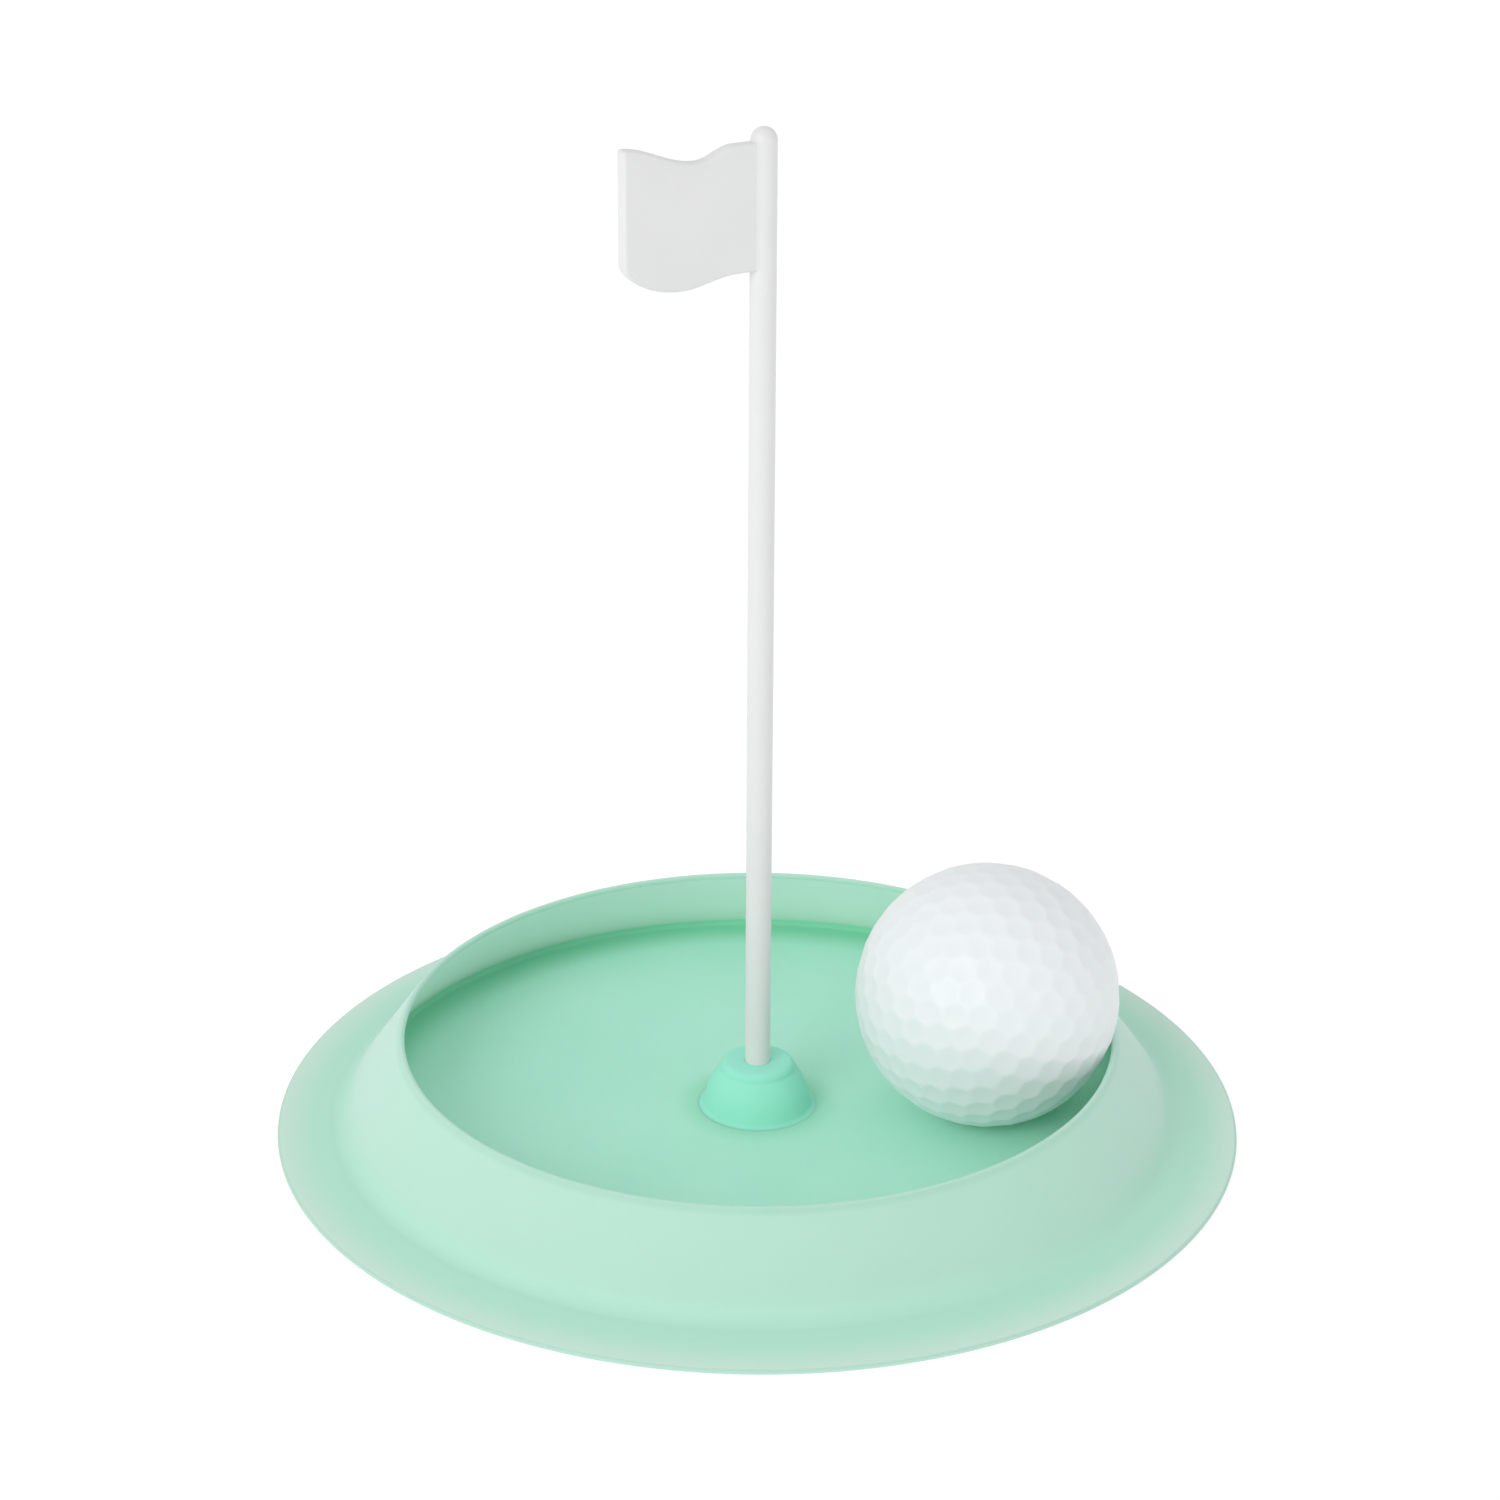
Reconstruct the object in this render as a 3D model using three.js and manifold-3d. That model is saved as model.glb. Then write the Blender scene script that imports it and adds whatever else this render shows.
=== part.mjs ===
// A round practice putting mat: a soft moulded mat with a lip that leans inwards, a socket in its centre,
// a flagstick with a waved flag, and a golf ball that rests against the inside of the lip.
// Millimetres, +Z up. The origin is the centre of the mat's underside, and -Y is the front.

import * as THREE from "three";
import { mergeVertices } from "three/addons/utils/BufferGeometryUtils.js";
import Module from "manifold-3d";

// ---- driving dimensions ----

// Mat: a flat floor, an apron outside the lip, and the lip itself.
const MAT_RADIUS = 78.4;
const FLOOR_THICKNESS = 1.3;
const EDGE_THICKNESS = 0.8;
const CREASE_RADIUS = 68.3; // where the outer face of the lip would meet the apron, without its fillet
const CREASE_HEIGHT = 1.8;
const RIM_RADIUS = 58.3; // where the outer face ends, at the lip's top
const RIM_HEIGHT = 15.9;
const LIP_THICKNESS = 1.0;
const LIP_OUTER_FILLET = 3.0;
const LIP_INNER_FILLET = 0.7;
const LIP_SEAT_DEPTH = 0.4; // the lip's foot goes this far below the crease
const JOINT_GAP = 0.1; // between pieces that are bonded or pressed together

// Socket in the centre of the mat.
const SOCKET_FOOT_RADIUS = 8.8;
const SOCKET_SHOULDER_RADIUS = 6.1;
const SOCKET_TOP = 9.7;
const SOCKET_TOP_ROUND = 1.2;
const SOCKET_SIDE_BULGE = 0.45; // how far the side stands out from a straight cone
const SPIGOT_RADIUS = 5.9;
const SPIGOT_BOTTOM = 0.3;

// Flagstick.
const POLE_RADIUS = 2.05;
const POLE_TOP = 164.4;
const POLE_BOTTOM = 1.8;
const POLE_CHAMFER = 0.4;
const POLE_CLEARANCE = 0.09; // radial, in the socket
const BORE_FLOOR = POLE_BOTTOM - JOINT_GAP;

// Flag: a plate in a vertical plane through the pole's axis. Distances run from that axis.
const FLAG_THICKNESS = 2.4;
const FLAG_LENGTH = 23.9;
const FLAG_YAW = 210; // degrees about +Z from +X to the flag's free end
const FLAG_BEVEL = 0.35;
const FLAG_TOP = { root: 162.3, dip: 160.5, end: 163.6, dipStart: 5.2, dipAt: 11.4 };
const FLAG_BOTTOM = { root: 142.9, dip: 141.5, dipStart: 5, dipAt: 14.2 };
const FLAG_LOWER_CORNER = { width: 10.3, height: 6.6 }; // half axes of the ellipse it follows

// Golf ball: a core inside two half shells.
const BALL_RADIUS = 21.335;
const COVER_THICKNESS = 1.735;
const CORE_RADIUS = 19.3;
const BALL_FLOOR_GAP = 0.05;
const BALL_ORBIT_RADIUS = 37.1; // the ball's centre from the mat's axis, when it touches the lip
const BALL_AZIMUTH = -2.26; // degrees about +Z from +X

// Fineness of the round shapes.
const MAT_SEGMENTS = 96;
const SOCKET_SEGMENTS = 32;
const POLE_SEGMENTS = 24;
const BALL_SEGMENTS = 32;
const BALL_RINGS = 8; // from equator to pole
const ARC_STEPS = 4;
const FLAG_WAVE_STEPS = 8;

// ---- materials ----

const material = (color, roughness) =>
  new THREE.MeshStandardMaterial({ color, roughness, metalness: 0 });
const matRubber = material(0xa6dcc8, 0.7);
const socketRubber = material(0x86e3c4, 0.45);
const whitePlastic = material(0xe9eaec, 0.4);
const coreRubber = material(0xc9cdb0, 0.8);
const ballCover = material(0xf2f5f6, 0.2);

// ---- helpers ----

const wasm = await Module();
wasm.setup();

const at = (radius, height) => new THREE.Vector2(radius, height);
const radians = THREE.MathUtils.degToRad;

// Points of an arc in the plane of a profile, with both ends. Angles are in radians.
function arc(centre, radius, from, to, steps) {
  const points = [];
  for (let i = 0; i <= steps; i++) {
    const angle = from + ((to - from) * i) / steps;
    points.push(at(centre.x + radius * Math.cos(angle), centre.y + radius * Math.sin(angle)));
  }
  return points;
}

// Points between two places on a curve that stands out to the right of the way by bulge, without the first.
function bowed(from, to, bulge, steps) {
  const way = to.clone().sub(from);
  const right = at(way.y, -way.x).normalize();
  const points = [];
  for (let i = 1; i <= steps; i++) {
    const part = i / steps;
    const out = 4 * bulge * part * (1 - part);
    points.push(from.clone().addScaledVector(way, part).addScaledVector(right, out));
  }
  return points;
}

// A solid of revolution about Z from a profile of (radius, height) points.
function turned(profile, segments) {
  return new THREE.LatheGeometry(profile, segments).rotateX(Math.PI / 2);
}

// The same for a ring, whose profile closes on itself instead of on the axis.
const turnedRing = (profile, segments) => turned([...profile, profile[0].clone()], segments);

function named(name, geometry, look) {
  const mesh = new THREE.Mesh(geometry, look);
  mesh.name = name;
  return mesh;
}

function solidOf(geometry) {
  geometry.deleteAttribute("normal");
  geometry.deleteAttribute("uv");
  const merged = mergeVertices(geometry, 1e-4);
  return new wasm.Manifold(
    new wasm.Mesh({
      numProp: 3,
      vertProperties: merged.attributes.position.array,
      triVerts: new Uint32Array(merged.index.array),
    }),
  );
}

function geometryOf(solid) {
  const mesh = solid.getMesh();
  return new THREE.BufferGeometry()
    .setAttribute("position", new THREE.BufferAttribute(mesh.vertProperties, 3))
    .setIndex(new THREE.BufferAttribute(mesh.triVerts, 1));
}

// ---- the lip's section, which also sets its seat in the mat ----

const lipFoot = at(CREASE_RADIUS, CREASE_HEIGHT);
const lipRim = at(RIM_RADIUS, RIM_HEIGHT);
const lipUp = lipRim.clone().sub(lipFoot).normalize(); // along the outer face
const lipOut = at(lipUp.y, -lipUp.x); // square to the outer face, away from the ball
const outAngle = Math.atan2(lipOut.y, lipOut.x);

// Centre of the fillet between the apron and the outer face.
const outerFillet = at(
  CREASE_RADIUS + (LIP_OUTER_FILLET * (1 - lipOut.y)) / lipOut.x,
  CREASE_HEIGHT + LIP_OUTER_FILLET,
);
// Centre of the fillet between the floor and the inner face.
const innerFilletHeight = FLOOR_THICKNESS + LIP_INNER_FILLET;
const innerFillet = at(
  CREASE_RADIUS -
    (LIP_THICKNESS + LIP_INNER_FILLET + (innerFilletHeight - CREASE_HEIGHT) * lipOut.y) / lipOut.x,
  innerFilletHeight,
);
const SEAT_HEIGHT = CREASE_HEIGHT - LIP_SEAT_DEPTH;

// ---- pieces ----

// Floor and apron, with the centre hole for the socket's spigot and the seat for the lip's foot.
function baseMat() {
  const holeRadius = SPIGOT_RADIUS + JOINT_GAP;
  const edgeRound = EDGE_THICKNESS / 2;
  const edgeCentre = at(MAT_RADIUS - edgeRound, edgeRound);
  return turnedRing(
    [
      at(holeRadius, 0),
      ...arc(edgeCentre, edgeRound, -Math.PI / 2, Math.PI / 2, ARC_STEPS),
      at(outerFillet.x + JOINT_GAP, CREASE_HEIGHT),
      at(outerFillet.x + JOINT_GAP, SEAT_HEIGHT),
      at(innerFillet.x - JOINT_GAP, SEAT_HEIGHT),
      at(innerFillet.x - JOINT_GAP, FLOOR_THICKNESS),
      at(holeRadius, FLOOR_THICKNESS),
    ],
    MAT_SEGMENTS,
  );
}

// A thin wall that leans inwards over the floor, filleted at its foot and rounded at its rim.
function cupLip() {
  const rimRound = LIP_THICKNESS / 2;
  const rimCentre = lipRim.clone().addScaledVector(lipOut, -rimRound);
  return turnedRing(
    [
      at(innerFillet.x, SEAT_HEIGHT + JOINT_GAP),
      at(outerFillet.x, SEAT_HEIGHT + JOINT_GAP),
      ...arc(outerFillet, LIP_OUTER_FILLET, -Math.PI / 2, outAngle - Math.PI, ARC_STEPS),
      ...arc(rimCentre, rimRound, outAngle, outAngle + Math.PI, ARC_STEPS),
      ...arc(innerFillet, LIP_INNER_FILLET, outAngle, -Math.PI / 2, ARC_STEPS),
    ],
    MAT_SEGMENTS,
  );
}

// Tapered boss with bulging sides, a round shoulder, a blind bore for the pole, and a spigot below its foot.
function flagSocket() {
  const boreRadius = POLE_RADIUS + POLE_CLEARANCE;
  const foot = at(SOCKET_FOOT_RADIUS, FLOOR_THICKNESS + JOINT_GAP);
  const shoulder = at(SOCKET_SHOULDER_RADIUS - SOCKET_TOP_ROUND, SOCKET_TOP - SOCKET_TOP_ROUND);
  const sideTop = at(SOCKET_SHOULDER_RADIUS, shoulder.y);
  return turned(
    [
      at(0, SPIGOT_BOTTOM),
      at(SPIGOT_RADIUS, SPIGOT_BOTTOM),
      at(SPIGOT_RADIUS, foot.y),
      foot,
      ...bowed(foot, sideTop, SOCKET_SIDE_BULGE, ARC_STEPS),
      ...arc(shoulder, SOCKET_TOP_ROUND, 0, Math.PI / 2, ARC_STEPS).slice(1),
      at(boreRadius, SOCKET_TOP),
      at(boreRadius, BORE_FLOOR),
      at(0, BORE_FLOOR),
    ],
    SOCKET_SEGMENTS,
  );
}

// Round rod with a domed top.
function flagpole() {
  return turned(
    [
      at(0, POLE_BOTTOM),
      at(POLE_RADIUS - POLE_CHAMFER, POLE_BOTTOM),
      at(POLE_RADIUS, POLE_BOTTOM + POLE_CHAMFER),
      ...arc(at(0, POLE_TOP - POLE_RADIUS), POLE_RADIUS, 0, Math.PI / 2, ARC_STEPS),
    ],
    POLE_SEGMENTS,
  );
}

// Points of half a cosine wave between two places, without the first one.
function wave(from, to, steps) {
  const points = [];
  for (let i = 1; i <= steps; i++) {
    const part = (1 - Math.cos((Math.PI * i) / steps)) / 2;
    points.push(at(from.x + ((to.x - from.x) * i) / steps, from.y + (to.y - from.y) * part));
  }
  return points;
}

// The large round at the flag's lower free corner, from its lowest point up to its end.
function flagLowerCorner() {
  const { width, height } = FLAG_LOWER_CORNER;
  const end = Math.acos((FLAG_LENGTH - FLAG_BOTTOM.dipAt) / width);
  const round = arc(at(0, 0), 1, -Math.PI / 2, -end, FLAG_WAVE_STEPS);
  return round.map((p) => at(FLAG_BOTTOM.dipAt + width * p.x, FLAG_BOTTOM.dip + height * (1 + p.y)));
}

// Flat plate with waved top and bottom edges. Its root is hollowed to fit round the pole.
function flag() {
  const bottomDip = at(FLAG_BOTTOM.dipAt, FLAG_BOTTOM.dip);
  const topDip = at(FLAG_TOP.dipAt, FLAG_TOP.dip);
  const outline = new THREE.Shape([
    at(0, FLAG_BOTTOM.root),
    at(FLAG_BOTTOM.dipStart, FLAG_BOTTOM.root),
    ...wave(at(FLAG_BOTTOM.dipStart, FLAG_BOTTOM.root), bottomDip, FLAG_WAVE_STEPS),
    ...flagLowerCorner().slice(1),
    at(FLAG_LENGTH, FLAG_TOP.end),
    ...wave(at(FLAG_LENGTH, FLAG_TOP.end), topDip, FLAG_WAVE_STEPS),
    ...wave(topDip, at(FLAG_TOP.dipStart, FLAG_TOP.root), FLAG_WAVE_STEPS),
    at(0, FLAG_TOP.root),
  ]);
  const plate = new THREE.ExtrudeGeometry(outline, {
    depth: FLAG_THICKNESS - 2 * FLAG_BEVEL,
    bevelThickness: FLAG_BEVEL,
    bevelSize: FLAG_BEVEL,
    bevelOffset: -FLAG_BEVEL,
    bevelSegments: 1,
  })
    .translate(0, 0, FLAG_BEVEL - FLAG_THICKNESS / 2)
    .rotateX(Math.PI / 2);
  const poleSpace = new THREE.CylinderGeometry(
    POLE_RADIUS + JOINT_GAP,
    POLE_RADIUS + JOINT_GAP,
    2 * POLE_TOP,
    POLE_SEGMENTS,
  ).rotateX(Math.PI / 2);
  return geometryOf(solidOf(plate).subtract(solidOf(poleSpace)));
}

// Solid ball, with rows of faces that match the cover's.
const ballCore = () =>
  turned(arc(at(0, 0), CORE_RADIUS, -Math.PI / 2, Math.PI / 2, 2 * BALL_RINGS), BALL_SEGMENTS);

// Half of a hollow sphere, above the equator.
function ballCoverHalf() {
  const seam = JOINT_GAP / 2;
  const innerRadius = BALL_RADIUS - COVER_THICKNESS;
  const shell = (radius, from, to) => arc(at(0, 0), radius, from, to, BALL_RINGS);
  return turned(
    [
      ...shell(innerRadius, Math.PI / 2, Math.asin(seam / innerRadius)),
      ...shell(BALL_RADIUS, Math.asin(seam / BALL_RADIUS), Math.PI / 2),
    ],
    BALL_SEGMENTS,
  );
}

// ---- assembly ----

const mat = new THREE.Group();
mat.add(named("base_mat", baseMat(), matRubber));
mat.add(named("cup_lip", cupLip(), matRubber));
mat.add(named("flag_socket", flagSocket(), socketRubber));

const flagstick = new THREE.Group();
flagstick.add(named("flagpole", flagpole(), whitePlastic));
flagstick.add(named("flag", flag(), whitePlastic));
flagstick.rotation.z = radians(FLAG_YAW);

const ball = new THREE.Group();
ball.add(named("ball_core", ballCore(), coreRubber));
ball.add(named("ball_cover_upper", ballCoverHalf(), ballCover));
const lowerHalf = named("ball_cover_lower", ballCoverHalf(), ballCover);
lowerHalf.rotation.x = Math.PI;
ball.add(lowerHalf);
ball.position.set(
  BALL_ORBIT_RADIUS * Math.cos(radians(BALL_AZIMUTH)),
  BALL_ORBIT_RADIUS * Math.sin(radians(BALL_AZIMUTH)),
  FLOOR_THICKNESS + BALL_FLOOR_GAP + BALL_RADIUS,
);

const puttingMat = new THREE.Group();
puttingMat.add(mat, flagstick, ball);

export default puttingMat;
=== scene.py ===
import math

import bmesh
import bpy
import numpy as np
from mathutils import Euler, Matrix, Vector


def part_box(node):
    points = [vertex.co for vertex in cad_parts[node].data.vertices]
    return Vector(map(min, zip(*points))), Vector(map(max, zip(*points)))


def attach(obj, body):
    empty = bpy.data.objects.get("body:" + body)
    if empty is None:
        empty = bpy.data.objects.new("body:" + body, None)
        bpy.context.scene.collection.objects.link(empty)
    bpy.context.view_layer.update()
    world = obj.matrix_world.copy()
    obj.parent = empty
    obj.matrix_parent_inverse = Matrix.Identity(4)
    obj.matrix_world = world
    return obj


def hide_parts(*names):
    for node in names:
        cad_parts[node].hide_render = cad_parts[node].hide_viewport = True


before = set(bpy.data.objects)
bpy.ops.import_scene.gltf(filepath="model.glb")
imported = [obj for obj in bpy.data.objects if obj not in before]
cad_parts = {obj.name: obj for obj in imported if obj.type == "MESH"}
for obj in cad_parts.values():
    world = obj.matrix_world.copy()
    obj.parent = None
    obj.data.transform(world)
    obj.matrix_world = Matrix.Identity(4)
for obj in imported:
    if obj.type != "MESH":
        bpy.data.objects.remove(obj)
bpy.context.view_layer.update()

MM = 0.001


# ---- sizes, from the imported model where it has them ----

_, mat_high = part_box("base_mat")
socket_low, socket_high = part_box("flag_socket")
pole_low, pole_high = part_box("flagpole")
_, ball_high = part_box("ball_cover_upper")
ball_low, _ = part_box("ball_cover_lower")

MAT_RADIUS = mat_high.x / MM
FLOOR_Z = mat_high.z / MM
SOCKET_BOTTOM = socket_low.z / MM
SOCKET_TOP = socket_high.z / MM
POLE_RADIUS = pole_high.x / MM
POLE_TOP = pole_high.z / MM
POLE_BOTTOM = pole_low.z / MM
BALL_RADIUS = (ball_high.z - ball_low.z) / 2 / MM
BALL_CENTRE = (ball_high + ball_low) / 2

# The lip and apron. CREASE and RIM are (radius, height) on the lip's outer face.
EDGE_THICKNESS = 0.8
CREASE = (68.3, 1.8)
RIM = (58.3, 15.9)
LIP_THICKNESS = 1.0
OUTER_FILLET = 3.0
INNER_FILLET = 0.7
APRON_SAG = 0.15
MAT_HOLE_RADIUS = 6.0


# ---- materials ----

def new_material(name):
    """A material with one shader. Returns (material, nodes, links, shader)."""
    material = bpy.data.materials.new(name)
    material.use_nodes = True
    nodes, links = material.node_tree.nodes, material.node_tree.links
    return material, nodes, links, nodes["Principled BSDF"]


def noise(nodes, links, vector, scale, detail=3.0, roughness=0.5):
    node = nodes.new("ShaderNodeTexNoise")
    node.inputs["Scale"].default_value = scale
    node.inputs["Detail"].default_value = detail
    node.inputs["Roughness"].default_value = roughness
    links.new(vector, node.inputs["Vector"])
    return node.outputs["Fac"]


def ramp(nodes, links, value, low, high, out_low, out_high):
    """A value between two limits, mapped smoothly to two others."""
    node = nodes.new("ShaderNodeMapRange")
    node.interpolation_type = "SMOOTHSTEP"
    for key, number in (("From Min", low), ("From Max", high), ("To Min", out_low), ("To Max", out_high)):
        node.inputs[key].default_value = number
    links.new(value, node.inputs["Value"])
    return node.outputs["Result"]


def mix_colour(nodes, links, share, a, b):
    """From a to b as share goes from 0 to 1. a and b are colours or sockets."""
    node = nodes.new("ShaderNodeMix")
    node.data_type = "RGBA"
    links.new(share, node.inputs["Factor"])
    for key, value in (("A", a), ("B", b)):
        socket = [s for s in node.inputs if s.name == key and s.type == "RGBA"][0]
        if isinstance(value, tuple):
            socket.default_value = (*value, 1)
        else:
            links.new(value, socket)
    return [s for s in node.outputs if s.type == "RGBA"][0]


def bump(nodes, links, shader, heights):
    """Chains bumps of (height socket, distance in metres, strength) into the shader's normal."""
    normal = None
    for height, distance, strength in heights:
        node = nodes.new("ShaderNodeBump")
        node.inputs["Distance"].default_value = distance
        node.inputs["Strength"].default_value = strength
        links.new(height, node.inputs["Height"])
        if normal is not None:
            links.new(normal, node.inputs["Normal"])
        normal = node.outputs["Normal"]
    links.new(normal, shader.inputs["Normal"])


def object_coordinates(nodes):
    return nodes.new("ShaderNodeTexCoord").outputs["Object"]


# Colours, linear. Besides the floor's own colour and flow marks, the mat's colours are painted light and
# shade: painted shade in the corner, the crease, round the socket, on the rim and on the edge's side, and
# painted light on the lip's faces and towards the edge.
MINT = (0.366, 0.808, 0.622)  # the floor, and the flow marks in it
MINT_DEEP = (0.338, 0.786, 0.592)
MINT_CORNER_PAINTED_SHADE = (0.172, 0.640, 0.378)  # painted shade under the lip and round the socket's foot
MINT_WALL_PAINTED_LIGHT = (0.620, 0.830, 0.725)  # the lip's inner face, paler: painted light coming through the thin lip
MINT_OUTSIDE_PAINTED_LIGHT = (0.424, 0.702, 0.575)  # the lip's outer face, paler than the floor: painted light through the thin lip and painted sheen
MINT_CREASE_PAINTED_SHADE = (0.384, 0.744, 0.575)  # painted shade by the crease: the apron and the foot of the lip's outer face
MINT_RIM_PAINTED_SHADE = (0.370, 0.650, 0.520)  # the rounded top of the lip, darker: painted shade against the light it catches
MINT_EDGE = (0.520, 0.758, 0.640)  # the apron near its edge, paler: painted light through the thin edge
MINT_SIDE_PAINTED_SHADE = (0.365, 0.615, 0.495)  # the upright side of the edge, darker: painted shade against the glow of the table below
SOCKET_MINT = (0.258, 0.820, 0.600)
SOCKET_MINT_DEEP = (0.240, 0.806, 0.582)
WHITE = (0.718, 0.722, 0.722)  # the flagstick
WHITE_WARM = (0.704, 0.709, 0.707)
BALL_WHITE = (0.800, 0.846, 0.862)
BALL_WHITE_LOW = (0.788, 0.834, 0.850)
CORE_GREEN = (0.58, 0.61, 0.43)
CORE_SPECK = (0.45, 0.48, 0.33)

# Places on the mat, in metres. Radius plus CONE_SLOPE times the height is below CONE_INSIDE on the lip's
# inner face and above CONE_OUTSIDE on its outer face. A shade starts at FROM and is complete at TO.
CONE_SLOPE = 0.709
CONE_INSIDE, CONE_OUTSIDE = 0.0686, 0.0692
SOCKET_RING_FROM, SOCKET_RING_TO = 0.0086, 0.0145  # radius
SOCKET_RING_SHARE = 0.6
CORNER_FROM, CORNER_TO = 0.0575, 0.0655  # radius
CORNER_LOW, CORNER_HIGH = 0.0024, 0.0034  # height
WALL_FROM, WALL_TO = 0.0024, 0.0038  # height
RIM_FROM, RIM_TO = 0.0148, 0.0157  # height
CREASE_LOW, CREASE_HIGH = 0.0016, 0.0065  # height
EDGE_FROM, EDGE_TO = 0.0715, 0.0780  # radius
SIDE_FROM, SIDE_TO = 0.0778, 0.0783  # radius
LIP_FROM, LIP_TO = 0.0025, 0.0060  # height

# How much of the light goes into the soft moulding.
SOFT_WEIGHT, LIP_WEIGHT, FLOOR_WEIGHT = 0.3, 1.0, 0.8

# Noise scales, in cycles a metre, and depths of bumps, in metres.
FLOW_SCALE, RIPPLE_SCALE, GRAIN_SCALE = 35, 160, 2600
RIPPLE_DEPTH, GRAIN_DEPTH = 0.0001, 0.00004
PLASTIC_MOTTLE_SCALE, PLASTIC_GRAIN_SCALE = 120, 1500
PLASTIC_GRAIN_DEPTH = 0.00003
PAINT_MOTTLE_SCALE, PAINT_GRAIN_SCALE = 200, 1800
PAINT_GRAIN_DEPTH = 0.00002
SPECK_SCALE = 900


def calculate(nodes, links, operation, *values):
    """One Math node on sockets or plain numbers."""
    node = nodes.new("ShaderNodeMath")
    node.operation = operation
    for place, value in zip(node.inputs, values):
        if isinstance(value, float):
            place.default_value = value
        else:
            links.new(value, place)
    return node.outputs["Value"]


def mottle(nodes, links, where, scale, detail):
    """Soft patches, from 0 to 1."""
    return ramp(nodes, links, noise(nodes, links, where, scale, detail), 0.3, 0.7, 0, 1)


def roughen(nodes, links, shader, grain, low, high):
    """Roughness that varies with the grain."""
    links.new(ramp(nodes, links, grain, 0.2, 0.8, low, high), shader.inputs["Roughness"])


def let_light_in(shader, weight, reach):
    """Scattering under the surface. reach is how far light goes in, in metres."""
    shader.inputs["Subsurface Weight"].default_value = weight
    shader.inputs["Subsurface Radius"].default_value = (1.0, 1.0, 1.0)
    shader.inputs["Subsurface Scale"].default_value = reach


def radius_and_height(nodes, links, where):
    """Distance from the mat's axis and height above the ground, in metres."""
    flat = nodes.new("ShaderNodeVectorMath")
    flat.operation = "MULTIPLY"
    flat.inputs[1].default_value = (1, 1, 0)
    links.new(where, flat.inputs[0])
    length = nodes.new("ShaderNodeVectorMath")
    length.operation = "LENGTH"
    links.new(flat.outputs["Vector"], length.inputs[0])
    split = nodes.new("ShaderNodeSeparateXYZ")
    links.new(where, split.inputs[0])
    return length.outputs["Value"], split.outputs["Z"]


def mat_shade(nodes, links, where, shade):
    """The floor's colour, changed from place to place with painted shade and painted light, and the share
    of light that goes in there."""
    radius, height = radius_and_height(nodes, links, where)
    cone = calculate(nodes, links, "MULTIPLY_ADD", height, CONE_SLOPE, radius)
    outside = ramp(nodes, links, cone, CONE_INSIDE, CONE_OUTSIDE, 0, 1)
    inside = ramp(nodes, links, cone, CONE_INSIDE, CONE_OUTSIDE, 1, 0)

    # Painted shade: the floor is deeper round the socket's foot and in the corner under the lip.
    ring = ramp(nodes, links, radius, SOCKET_RING_FROM, SOCKET_RING_TO, SOCKET_RING_SHARE, 0)
    shade = mix_colour(nodes, links, ring, shade, MINT_CORNER_PAINTED_SHADE)
    near_lip = ramp(nodes, links, radius, CORNER_FROM, CORNER_TO, 0, 1)
    near_floor = ramp(nodes, links, height, CORNER_LOW, CORNER_HIGH, 1, 0)
    corner = calculate(nodes, links, "MULTIPLY", near_lip, near_floor)
    corner = calculate(nodes, links, "MULTIPLY", corner, inside)
    shade = mix_colour(nodes, links, corner, shade, MINT_CORNER_PAINTED_SHADE)
    # Painted light: the lip's inner face is paler, as if light came through the thin lip.
    above_corner = ramp(nodes, links, height, WALL_FROM, WALL_TO, 0, 1)
    wall = calculate(nodes, links, "MULTIPLY", above_corner, inside)
    shade = mix_colour(nodes, links, wall, shade, MINT_WALL_PAINTED_LIGHT)
    # Painted shade by the crease: greener low on the outer face and over the apron.
    low = ramp(nodes, links, height, CREASE_LOW, CREASE_HIGH, 1, 0)
    # Painted light on the outer face: paler than the floor, for light through the thin lip and for sheen.
    outer = mix_colour(nodes, links, low, MINT_OUTSIDE_PAINTED_LIGHT, MINT_CREASE_PAINTED_SHADE)
    shade = mix_colour(nodes, links, outside, shade, outer)
    # Painted shade on the rounded top of the lip, against the light it catches.
    rim = ramp(nodes, links, height, RIM_FROM, RIM_TO, 0, 1)
    shade = mix_colour(nodes, links, rim, shade, MINT_RIM_PAINTED_SHADE)
    # Painted light: the apron grows paler towards its thin edge.
    edge = ramp(nodes, links, radius, EDGE_FROM, EDGE_TO, 0, 1)
    shade = mix_colour(nodes, links, edge, shade, MINT_EDGE)
    # Painted shade on the edge's upright side, against the glow of the table below.
    side = ramp(nodes, links, radius, SIDE_FROM, SIDE_TO, 0, 1)
    shade = mix_colour(nodes, links, side, shade, MINT_SIDE_PAINTED_SHADE)

    floor_weight = ramp(nodes, links, radius, CORNER_FROM, CORNER_TO, FLOOR_WEIGHT, SOFT_WEIGHT)
    lip_weight = ramp(nodes, links, height, LIP_FROM, LIP_TO, 0, LIP_WEIGHT)
    return shade, calculate(nodes, links, "MAXIMUM", floor_weight, lip_weight)


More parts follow.
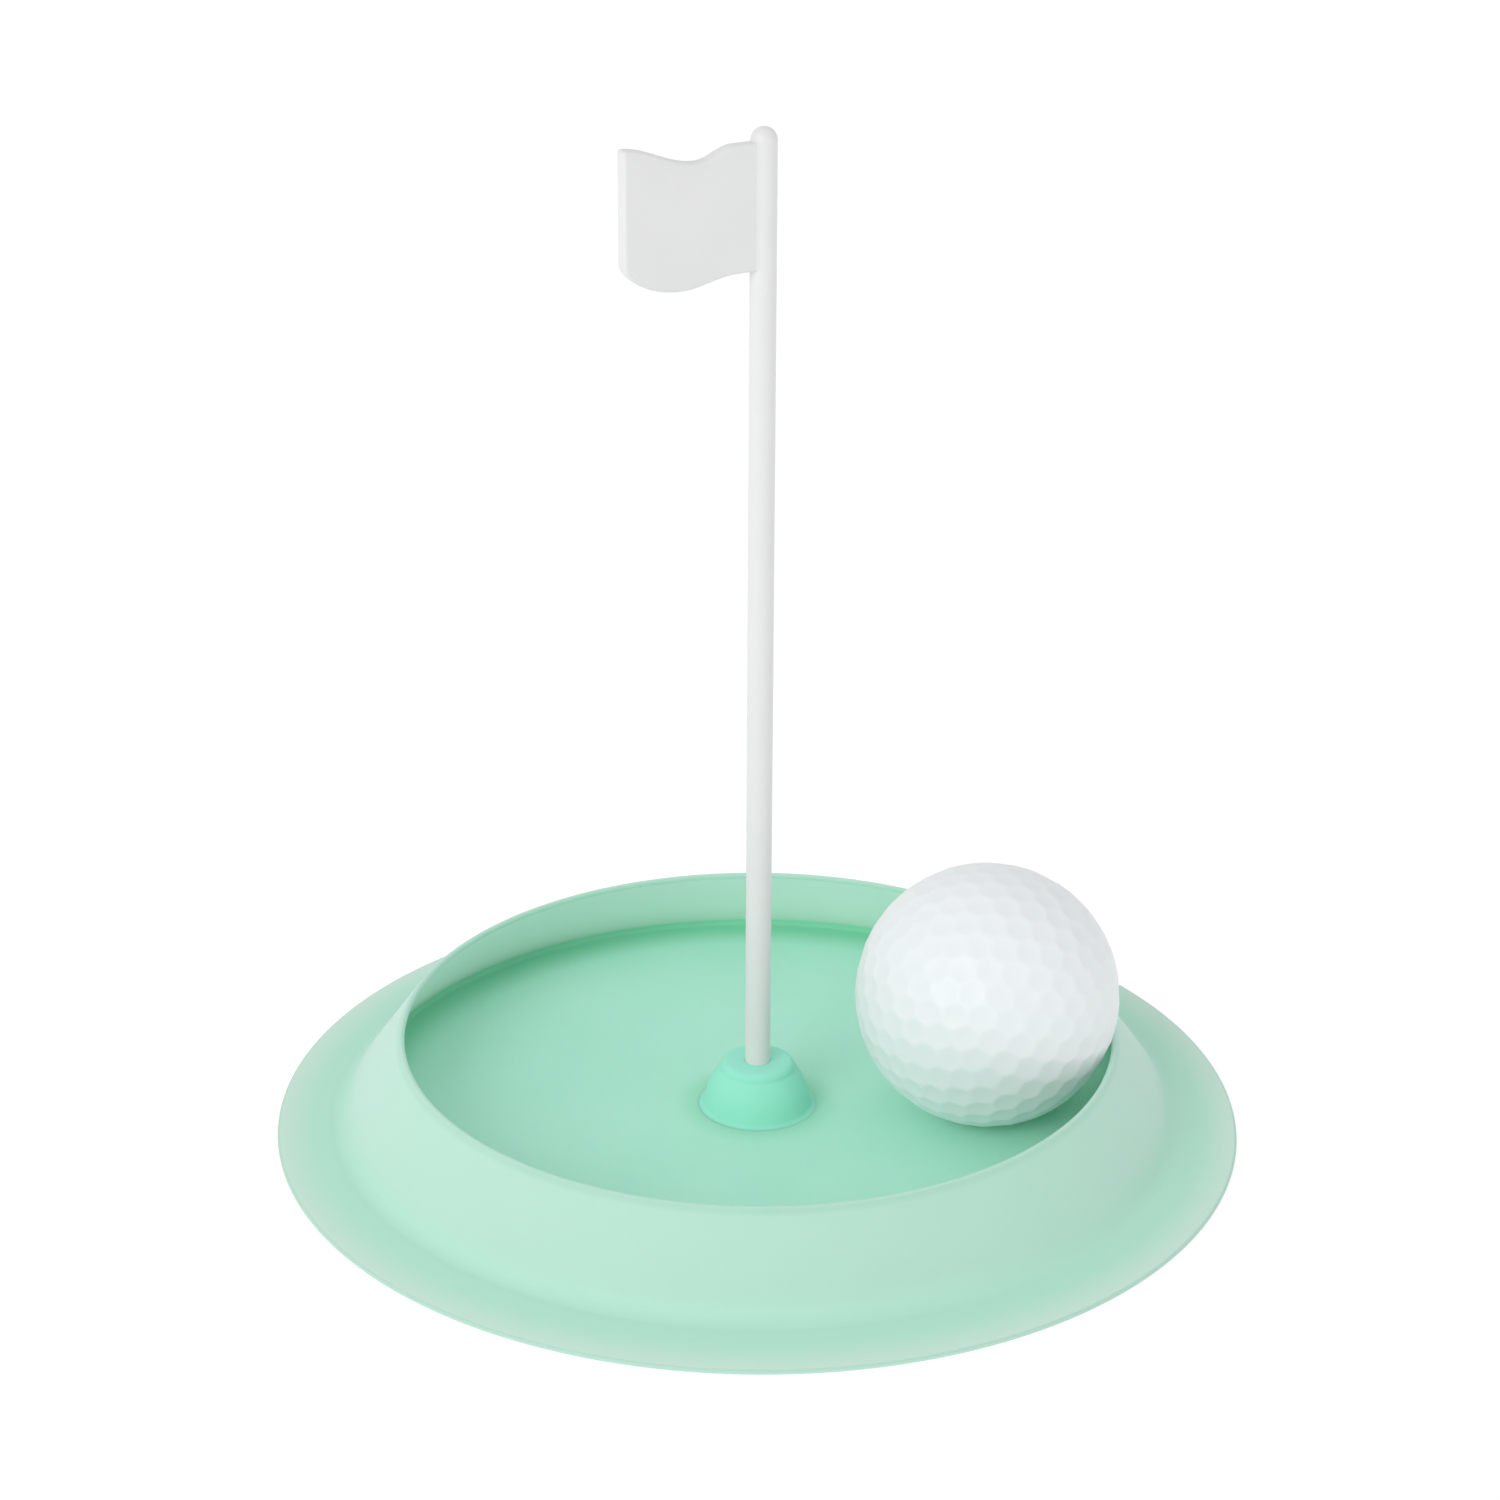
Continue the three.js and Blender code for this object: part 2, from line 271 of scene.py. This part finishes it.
def soft_moulding(name, colour, deep, roughness, reach, painted_light_and_shade=False):
    """Soft translucent moulding with faint flow marks and a very fine grain."""
    material, nodes, links, shader = new_material(name)
    where = object_coordinates(nodes)
    shade = mix_colour(nodes, links, mottle(nodes, links, where, FLOW_SCALE, detail=5), colour, deep)
    let_light_in(shader, SOFT_WEIGHT, reach)
    # The mat's painted light and shade, from mat_shade.
    if painted_light_and_shade:
        shade, weight = mat_shade(nodes, links, where, shade)
        links.new(weight, shader.inputs["Subsurface Weight"])
    links.new(shade, shader.inputs["Base Color"])
    grain = noise(nodes, links, where, GRAIN_SCALE, detail=2, roughness=0.6)
    roughen(nodes, links, shader, grain, roughness - 0.05, roughness + 0.07)
    ripple = noise(nodes, links, where, RIPPLE_SCALE, detail=2)
    bump(nodes, links, shader, [(grain, GRAIN_DEPTH, 0.3), (ripple, RIPPLE_DEPTH, 0.1)])
    shader.inputs["Specular IOR Level"].default_value = 0.1
    return material


def smooth_plastic(name, colour, tint, roughness):
    """Injection-moulded white plastic with a faint flow mottle."""
    material, nodes, links, shader = new_material(name)
    where = object_coordinates(nodes)
    patches = mottle(nodes, links, where, PLASTIC_MOTTLE_SCALE, detail=3)
    links.new(mix_colour(nodes, links, patches, colour, tint), shader.inputs["Base Color"])
    grain = noise(nodes, links, where, PLASTIC_GRAIN_SCALE, detail=2)
    roughen(nodes, links, shader, grain, roughness - 0.04, roughness + 0.05)
    bump(nodes, links, shader, [(grain, PLASTIC_GRAIN_DEPTH, 0.2)])
    shader.inputs["Subsurface Weight"].default_value = 0.1
    shader.inputs["Subsurface Scale"].default_value = 0.001
    return material


def ball_paint(name):
    """White paint under a thin clear coat."""
    material, nodes, links, shader = new_material(name)
    where = object_coordinates(nodes)
    patches = mottle(nodes, links, where, PAINT_MOTTLE_SCALE, detail=3)
    links.new(mix_colour(nodes, links, patches, BALL_WHITE, BALL_WHITE_LOW), shader.inputs["Base Color"])
    grain = noise(nodes, links, where, PAINT_GRAIN_SCALE, detail=2)
    roughen(nodes, links, shader, grain, 0.45, 0.55)
    bump(nodes, links, shader, [(grain, PAINT_GRAIN_DEPTH, 0.15)])
    shader.inputs["Coat Weight"].default_value = 0.14
    shader.inputs["Coat Roughness"].default_value = 0.3
    let_light_in(shader, 0.5, 0.002)
    return material


def core_rubber(name):
    """Speckled moulded rubber of the ball's core."""
    material, nodes, links, shader = new_material(name)
    where = object_coordinates(nodes)
    speck = ramp(nodes, links, noise(nodes, links, where, SPECK_SCALE, detail=4), 0.4, 0.7, 0, 1)
    links.new(mix_colour(nodes, links, speck, CORE_GREEN, CORE_SPECK), shader.inputs["Base Color"])
    links.new(ramp(nodes, links, speck, 0, 1, 0.7, 0.85), shader.inputs["Roughness"])
    return material


mat_rubber = soft_moulding("mat_rubber_look", MINT, MINT_DEEP, 0.62, reach=0.0015, painted_light_and_shade=True)
socket_rubber = soft_moulding("socket_rubber_look", SOCKET_MINT, SOCKET_MINT_DEEP, 0.55, reach=0.0003)
white_plastic = smooth_plastic("white_plastic_look", WHITE, WHITE_WARM, 0.38)
ball_cover = ball_paint("ball_cover_look")
ball_core = core_rubber("ball_core_look")


# ---- mesh helpers ----

def mesh_object(name, vertices, faces, material):
    """A smooth-shaded mesh object, with its normals facing out. vertices are in metres."""
    mesh = bpy.data.meshes.new(name)
    mesh.from_pydata([tuple(v) for v in vertices], [], faces)
    bm = bmesh.new()
    bm.from_mesh(mesh)
    bmesh.ops.recalc_face_normals(bm, faces=bm.faces)
    bm.to_mesh(mesh)
    bm.free()
    mesh.polygons.foreach_set("use_smooth", [True] * len(mesh.polygons))
    mesh.materials.append(material)
    obj = bpy.data.objects.new(name, mesh)
    bpy.context.collection.objects.link(obj)
    return obj


def arc(centre, radius, start, end, steps):
    """Points of an arc, both ends included. Angles are in radians."""
    angles = [start + (end - start) * i / steps for i in range(steps + 1)]
    return [(centre[0] + radius * math.cos(a), centre[1] + radius * math.sin(a)) for a in angles]


def line(start, end, steps):
    """Points between two places, without the first one."""
    return [tuple(s + (e - s) * i / steps for s, e in zip(start, end)) for i in range(1, steps + 1)]


ON_AXIS = 1e-6  # a smaller radius than this is one point on the axis


def revolve(name, profile, segments, material, ring=False, sharp=()):
    """A solid of revolution about Z from (radius, height) points in millimetres. A ring's profile closes on
    itself, and any other starts and ends on the axis. sharp lists the points that make crisp edges."""
    vertices, rows = [], []
    for radius, height in profile:
        if radius < ON_AXIS:
            rows.append([len(vertices)] * segments)
            vertices.append((0, 0, height * MM))
            continue
        rows.append(list(range(len(vertices), len(vertices) + segments)))
        for i in range(segments):
            angle = 2 * math.pi * i / segments
            vertices.append((radius * math.cos(angle) * MM, radius * math.sin(angle) * MM, height * MM))
    pairs = list(zip(rows, rows[1:])) + ([(rows[-1], rows[0])] if ring else [])
    faces = []
    for low, high in pairs:
        for i in range(segments):
            j = (i + 1) % segments
            faces.append(list(dict.fromkeys([low[i], low[j], high[j], high[i]])))
    piece = mesh_object(name, vertices, faces, material)
    crisp = [set(rows[i]) for i in sharp]
    for edge in piece.data.edges:
        if any(set(edge.vertices) <= row for row in crisp):
            edge.use_edge_sharp = True
    return piece


# ---- mat: floor, lip and apron in one moulding ----

def mat_profile():
    """Once round the section, from the underside out to the edge, over the lip and back along the floor."""
    foot, rim = Vector(CREASE), Vector(RIM)
    up = (rim - foot).normalized()
    out = Vector((up.y, -up.x))
    out_angle = math.atan2(out.y, out.x)
    outer = (CREASE[0] + OUTER_FILLET * (1 - out.y) / out.x, CREASE[1] + OUTER_FILLET)
    inner_z = FLOOR_Z + INNER_FILLET
    inner = (CREASE[0] - (LIP_THICKNESS + INNER_FILLET + (inner_z - CREASE[1]) * out.y) / out.x, inner_z)
    rim_round = LIP_THICKNESS / 2
    rim_centre = rim - out * rim_round
    edge_round = EDGE_THICKNESS / 2
    edge = (MAT_RADIUS - edge_round, edge_round)
    points = [(MAT_HOLE_RADIUS, 0.0)]
    points += line(points[-1], (edge[0], 0.0), steps=12)[:-1]
    points += arc(edge, edge_round, -math.pi / 2, math.pi / 2, steps=8)
    start, end = points[-1], (outer[0], CREASE[1])
    for radius, height in line(start, end, steps=10)[:-1]:
        part = (radius - end[0]) / (start[0] - end[0])
        points.append((radius, height - APRON_SAG * math.sin(math.pi * part)))
    points += arc(outer, OUTER_FILLET, -math.pi / 2, out_angle - math.pi, steps=8)
    points += line(points[-1], rim, steps=14)[:-1]
    points += arc(rim_centre, rim_round, out_angle, out_angle + math.pi, steps=10)
    inner_arc = arc(inner, INNER_FILLET, out_angle, -math.pi / 2, steps=10)
    points += line(points[-1], inner_arc[0], steps=14)[:-1]
    points += inner_arc
    points += line(points[-1], (MAT_HOLE_RADIUS, FLOOR_Z), steps=24)
    return points


mat = revolve("putting_mat", mat_profile(), 256, mat_rubber, ring=True)
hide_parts("base_mat", "cup_lip")
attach(mat, "base")


# ---- socket ----

SOCKET_FOOT_RADIUS = 8.8
SOCKET_SHOULDER_RADIUS = 6.1
SOCKET_TOP_ROUND = 1.2
SOCKET_SIDE_BULGE = 0.45
SOCKET_FOOT_FILLET = 0.8
SOCKET_MOUTH_ROUND = 0.15
SOCKET_UNDER = 0.02  # how far the socket's foot goes below the floor's face
SHOULDER_START = 0.15  # radians, where the side meets the rounded shoulder
SPIGOT_RADIUS = 5.9
POLE_CLEARANCE = 0.03
BORE_BELOW_POLE = 0.1
SIDE_STEPS = 14


def socket_profile():
    """From the spigot's underside, out round the foot, up the side and down the bore."""
    bore = POLE_RADIUS + POLE_CLEARANCE
    bore_floor = POLE_BOTTOM - BORE_BELOW_POLE
    under = FLOOR_Z - SOCKET_UNDER
    shoulder = (SOCKET_SHOULDER_RADIUS - SOCKET_TOP_ROUND, SOCKET_TOP - SOCKET_TOP_ROUND)
    side_top = Vector((SOCKET_SHOULDER_RADIUS, shoulder[1]))
    side_foot = Vector((SOCKET_FOOT_RADIUS - 0.1, FLOOR_Z + SOCKET_FOOT_FILLET))
    way = side_top - side_foot
    right = Vector((way.y, -way.x)).normalized()
    fillet = (SOCKET_FOOT_RADIUS + SOCKET_FOOT_FILLET, FLOOR_Z + SOCKET_FOOT_FILLET)
    mouth = (bore + SOCKET_MOUTH_ROUND, SOCKET_TOP - SOCKET_MOUTH_ROUND)
    points = [(0.0, SOCKET_BOTTOM), (SPIGOT_RADIUS, SOCKET_BOTTOM)]
    points += [(SPIGOT_RADIUS, under), (fillet[0], under)]
    points += arc(fillet, SOCKET_FOOT_FILLET, -math.pi / 2, -math.pi, steps=6)
    for i in range(1, SIDE_STEPS + 1):
        part = i / SIDE_STEPS
        bulge = 4 * SOCKET_SIDE_BULGE * part * (1 - part)
        points.append(tuple(side_foot + way * part + right * bulge))
    points += arc(shoulder, SOCKET_TOP_ROUND, SHOULDER_START, math.pi / 2, steps=10)
    points += arc(mouth, SOCKET_MOUTH_ROUND, math.pi / 2, math.pi, steps=5)
    return points + [(bore, bore_floor), (0.0, bore_floor)]


# Points 3 and 4 are the thin rim of the socket's foot, on the floor.
socket = revolve("flag_socket_boss", socket_profile(), 96, socket_rubber, sharp=(3, 4))
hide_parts("flag_socket")
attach(socket, "socket")


# ---- flagstick ----

POLE_CHAMFER = 0.4


def pole_profile():
    points = [(0.0, POLE_BOTTOM), (POLE_RADIUS - POLE_CHAMFER, POLE_BOTTOM)]
    points.append((POLE_RADIUS, POLE_BOTTOM + POLE_CHAMFER))
    dome = arc((0, POLE_TOP - POLE_RADIUS), POLE_RADIUS, 0, math.pi / 2, steps=12)
    points += line(points[-1], dome[0], steps=30)[:-1] + dome
    points[-1] = (0.0, POLE_TOP)
    return points


pole = revolve("flagstick_pole", pole_profile(), 64, white_plastic)
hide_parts("flagpole")
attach(pole, "flagstick")

# The flag. Its outline's points are (distance from the pole's axis, height above the ground).
FLAG_THICKNESS = 2.4
FLAG_LENGTH = 23.9
FLAG_YAW = math.radians(210)
FLAG_ROUND = 0.5
FLAG_TOP_ROOT, FLAG_TOP_DIP, FLAG_TOP_END = (5.2, 162.3), (11.4, 160.5), (FLAG_LENGTH, 163.6)
FLAG_BOTTOM_ROOT, FLAG_BOTTOM_DIP = (5.0, 142.9), (14.2, 141.5)
FLAG_CORNER_WIDTH, FLAG_CORNER_HEIGHT = 10.3, 6.6
FLAG_SMALLEST_ROUND = 0.02
ROOT_STEPS, PLATE_STEPS, END_STEPS = 8, 64, 6

# The fillet where the plate meets the pole, and where it starts on each of them.
ROOT_FILLET = 0.8
ROOT_CENTRE = FLAG_THICKNESS / 2 + ROOT_FILLET
ROOT_END = math.sqrt((POLE_RADIUS + ROOT_FILLET) ** 2 - ROOT_CENTRE**2)
ROOT_START = ROOT_END * POLE_RADIUS / (POLE_RADIUS + ROOT_FILLET)


def half_wave(u, start, end):
    """Height of half a cosine wave from one outline point to another."""
    part = min(max((u - start[0]) / (end[0] - start[0]), 0), 1)
    return start[1] + (end[1] - start[1]) * (1 - math.cos(math.pi * part)) / 2


def flag_top(u):
    if u < FLAG_TOP_DIP[0]:
        return half_wave(u, FLAG_TOP_ROOT, FLAG_TOP_DIP)
    return half_wave(u, FLAG_TOP_DIP, FLAG_TOP_END)


def flag_bottom(u):
    if u < FLAG_BOTTOM_DIP[0]:
        return half_wave(u, FLAG_BOTTOM_ROOT, FLAG_BOTTOM_DIP)
    part = (u - FLAG_BOTTOM_DIP[0]) / FLAG_CORNER_WIDTH
    return FLAG_BOTTOM_DIP[1] + FLAG_CORNER_HEIGHT * (1 - math.sqrt(1 - part**2))


def flag_section(u, inset):
    """One rounded rectangle across the plate, inset all round by so much, as (across, height) points."""
    grow = 0.0
    if ROOT_START <= u < ROOT_END:
        grow = ROOT_FILLET - math.sqrt(ROOT_FILLET**2 - (ROOT_END - u) ** 2)
    half = FLAG_THICKNESS / 2 - inset + grow
    low, high = flag_bottom(u) + inset - grow, flag_top(u) - inset
    radius = max(FLAG_ROUND - inset, FLAG_SMALLEST_ROUND)
    corners = [((half - radius, low + radius), -math.pi / 2), ((half - radius, high - radius), 0),
               ((radius - half, high - radius), math.pi / 2), ((radius - half, low + radius), math.pi)]
    points = []
    for centre, start in corners:
        if points:
            points += line(points[-1], arc(centre, radius, start, start, steps=1)[0], steps=8)[:-1]
        points += arc(centre, radius, start, start + math.pi / 2, steps=5)
    return points + line(points[-1], points[0], steps=3)[:-1]


def flag_mesh():
    """Sections lofted from inside the pole, along the root's fillet and the plate, round the free end."""
    plate_end = FLAG_LENGTH - FLAG_ROUND
    stations = [(ROOT_START / 2, 0.0)]
    stations += [(ROOT_START + (ROOT_END - ROOT_START) * i / ROOT_STEPS, 0.0) for i in range(ROOT_STEPS)]
    stations += [(ROOT_END + (plate_end - ROOT_END) * i / PLATE_STEPS, 0.0) for i in range(PLATE_STEPS + 1)]
    for i in range(1, END_STEPS + 1):
        angle = math.pi / 2 * i / END_STEPS
        stations.append((plate_end + FLAG_ROUND * math.sin(angle), FLAG_ROUND * (1 - math.cos(angle))))
    turn = Matrix.Rotation(FLAG_YAW, 3, "Z")
    vertices, faces = [], []
    for u, inset in stations:
        section = flag_section(u, inset)
        base, count = len(vertices), len(section)
        vertices += [turn @ Vector((u, across, height)) * MM for across, height in section]
        if base:
            for i in range(count):
                j = (i + 1) % count
                faces.append([base - count + i, base - count + j, base + j, base + i])
    faces.append(list(range(count)))
    faces.append(list(range(len(vertices) - count, len(vertices))))
    return mesh_object("flag_plate", vertices, faces, white_plastic)


flag = flag_mesh()
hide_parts("flag")
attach(flag, "flagstick")


# ---- golf ball ----

# Steps along the lattice's two directions from one corner of the icosahedron to the next.
DIMPLE_STEPS = (6, 0)
DIMPLE_RADIUS_SHARE = 0.5  # of the spacing
DIMPLE_DEPTH = 0.23
BALL_TURN = Euler((0.4, 0.25, 0.6))  # of the dimple pattern
BALL_SUBDIVISIONS = 7

# Evening out: the dimples push each other apart in small steps.
PUSH_ROUNDS = 150
PUSH_POWER = 5
PUSH_STEP = 0.006


def icosahedron():
    """Twelve unit corners and twenty faces that all wind the same way."""
    golden = (1 + math.sqrt(5)) / 2
    corners = []
    for a in (-1, 1):
        for b in (-golden, golden):
            corners += [(0, a, b), (a, b, 0), (b, 0, a)]
    corners = np.array(corners, float)
    corners /= np.linalg.norm(corners[0])
    edge = min(np.linalg.norm(corners[0] - c) for c in corners[1:])
    near = lambda i, j: abs(np.linalg.norm(corners[i] - corners[j]) - edge) < 1e-6
    faces = []
    for i in range(12):
        for j in range(i + 1, 12):
            for k in range(j + 1, 12):
                if near(i, j) and near(j, k) and near(i, k):
                    outward = np.linalg.det(corners[[i, j, k]]) > 0
                    faces.append((i, j, k) if outward else (i, k, j))
    return corners, faces


def dimple_centres():
    """Unit vectors to the dimples: a triangular lattice on an icosahedron, evened out on the sphere."""
    h, k = DIMPLE_STEPS
    total = h * h + h * k + k * k
    corners, faces = icosahedron()
    found = {}
    for a, b, c in faces:
        for i in range(-k, h + 1):
            for j in range(0, h + k + 1):
                u, v = (i * (h + k) + j * k) / total, (j * h - i * k) / total
                if min(u, v) < -1e-9 or u + v > 1 + 1e-9:
                    continue
                point = corners[a] + u * (corners[b] - corners[a]) + v * (corners[c] - corners[a])
                point /= np.linalg.norm(point)
                found[tuple(np.round(point, 5))] = point
    points = np.array(list(found.values()))
    for _ in range(PUSH_ROUNDS):
        apart = points[:, None] - points[None]
        distance = np.linalg.norm(apart, axis=2) + np.eye(len(points))
        push = (apart / distance[..., None] ** PUSH_POWER).sum(axis=1)
        points += push * (PUSH_STEP / np.abs(push).max())
        points /= np.linalg.norm(points, axis=1)[:, None]
    return points


def dimpled_ball():
    """A fine sphere with a shallow bowl pressed in at every dimple."""
    centres = dimple_centres()
    spacing = BALL_RADIUS * math.sqrt(4 * math.pi / len(centres) * 2 / math.sqrt(3))
    radius = spacing * DIMPLE_RADIUS_SHARE
    mesh = bpy.data.meshes.new("golf_ball")
    bm = bmesh.new()
    bmesh.ops.create_icosphere(bm, subdivisions=BALL_SUBDIVISIONS, radius=1)
    bm.to_mesh(mesh)
    bm.free()
    points = np.zeros(len(mesh.vertices) * 3)
    mesh.vertices.foreach_get("co", points)
    points = points.reshape(-1, 3)
    points /= np.linalg.norm(points, axis=1)[:, None]
    nearest = np.clip((points @ centres.T).max(axis=1), -1, 1)
    away = BALL_RADIUS * np.arccos(nearest) / radius
    depth = DIMPLE_DEPTH * np.clip(1 - away**2, 0, 1)
    points = points * (BALL_RADIUS - depth)[:, None] @ np.array(BALL_TURN.to_matrix()).T
    points = points * MM + np.array(BALL_CENTRE)
    mesh.vertices.foreach_set("co", points.ravel())
    mesh.polygons.foreach_set("use_smooth", [True] * len(mesh.polygons))
    mesh.materials.append(ball_cover)
    ball = bpy.data.objects.new("golf_ball", mesh)
    bpy.context.collection.objects.link(ball)
    return ball


golf_ball = dimpled_ball()
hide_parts("ball_cover_upper", "ball_cover_lower")
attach(golf_ball, "ball_cover")

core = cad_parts["ball_core"]
core.data.materials.clear()
core.data.materials.append(ball_core)


# ---- floor, lights and camera ----

FLOOR_HALF = 6.0
FLOOR_DROP = 0.0001
FLOOR_GREY = 0.3
FLOOR_GLOW = 0.78


def stage_floor():
    """A pale table lit from inside, so that it is plain white and shadows on it are faint."""
    half = FLOOR_HALF
    mesh = bpy.data.meshes.new("floor")
    mesh.from_pydata([(-half, -half, 0), (half, -half, 0), (half, half, 0), (-half, half, 0)], [],
                     [(0, 1, 2, 3)])
    floor = bpy.data.objects.new("floor", mesh)
    floor.location.z = -FLOOR_DROP
    bpy.context.collection.objects.link(floor)
    material, _, _, shader = new_material("floor_look")
    shader.inputs["Base Color"].default_value = (FLOOR_GREY, FLOOR_GREY, FLOOR_GREY, 1)
    shader.inputs["Emission Color"].default_value = (1, 1, 1, 1)
    shader.inputs["Emission Strength"].default_value = FLOOR_GLOW
    shader.inputs["Roughness"].default_value = 0.9
    shader.inputs["Specular IOR Level"].default_value = 0.1
    mesh.materials.append(material)


def soft_sun(name, azimuth, elevation, spread, strength):
    """A far, soft light. Angles are in degrees, and the azimuth is where the light comes from."""
    light = bpy.data.lights.new(name, "SUN")
    light.angle = math.radians(spread)
    light.energy = strength
    lamp = bpy.data.objects.new(name, light)
    lamp.rotation_euler = (0, math.radians(90 - elevation), math.radians(azimuth))
    bpy.context.collection.objects.link(lamp)


def sky(strength):
    """Even white light from all round."""
    world = bpy.data.worlds.new("studio")
    world.use_nodes = True
    background = world.node_tree.nodes["Background"]
    background.inputs["Color"].default_value = (1, 1, 1, 1)
    background.inputs["Strength"].default_value = strength
    bpy.context.scene.world = world


# The camera's place as seen from the mat's middle, where it points, and its lens.
CAMERA_DISTANCE = 0.5932
CAMERA_ELEVATION = math.radians(29.04)
CAMERA_PITCH, CAMERA_YAW, CAMERA_ROLL = math.radians(23.28), math.radians(-0.17), math.radians(0.34)
LENS_MM, SENSOR_MM = 85.97, 36
CLIP_NEAR, CLIP_FAR = 0.01, 50


def camera():
    """A camera in front of the mat, looking down on it, with a slight turn and roll."""
    distance, elevation = CAMERA_DISTANCE, CAMERA_ELEVATION
    pitch, yaw, roll = CAMERA_PITCH, CAMERA_YAW, CAMERA_ROLL
    forward = Vector((math.sin(yaw) * math.cos(pitch), math.cos(yaw) * math.cos(pitch), -math.sin(pitch)))
    right = forward.cross(Vector((0, 0, 1))).normalized()
    up = right.cross(forward)
    right, up = (right * math.cos(roll) + up * math.sin(roll), up * math.cos(roll) - right * math.sin(roll))
    data = bpy.data.cameras.new("camera")
    data.sensor_width = SENSOR_MM
    data.lens = LENS_MM
    data.clip_start, data.clip_end = CLIP_NEAR, CLIP_FAR
    cam = bpy.data.objects.new("camera", data)
    turn = Matrix((right, up, -forward)).transposed()
    cam.matrix_world = Matrix.Translation(
        (0, -distance * math.cos(elevation), distance * math.sin(elevation))) @ turn.to_4x4()
    bpy.context.collection.objects.link(cam)
    bpy.context.scene.camera = cam


stage_floor()
sky(0.69)
soft_sun("key", azimuth=234, elevation=27, spread=36, strength=1.12)
camera()
bpy.context.scene.view_settings.view_transform = "Standard"
bpy.context.scene.view_settings.gamma = 1.3
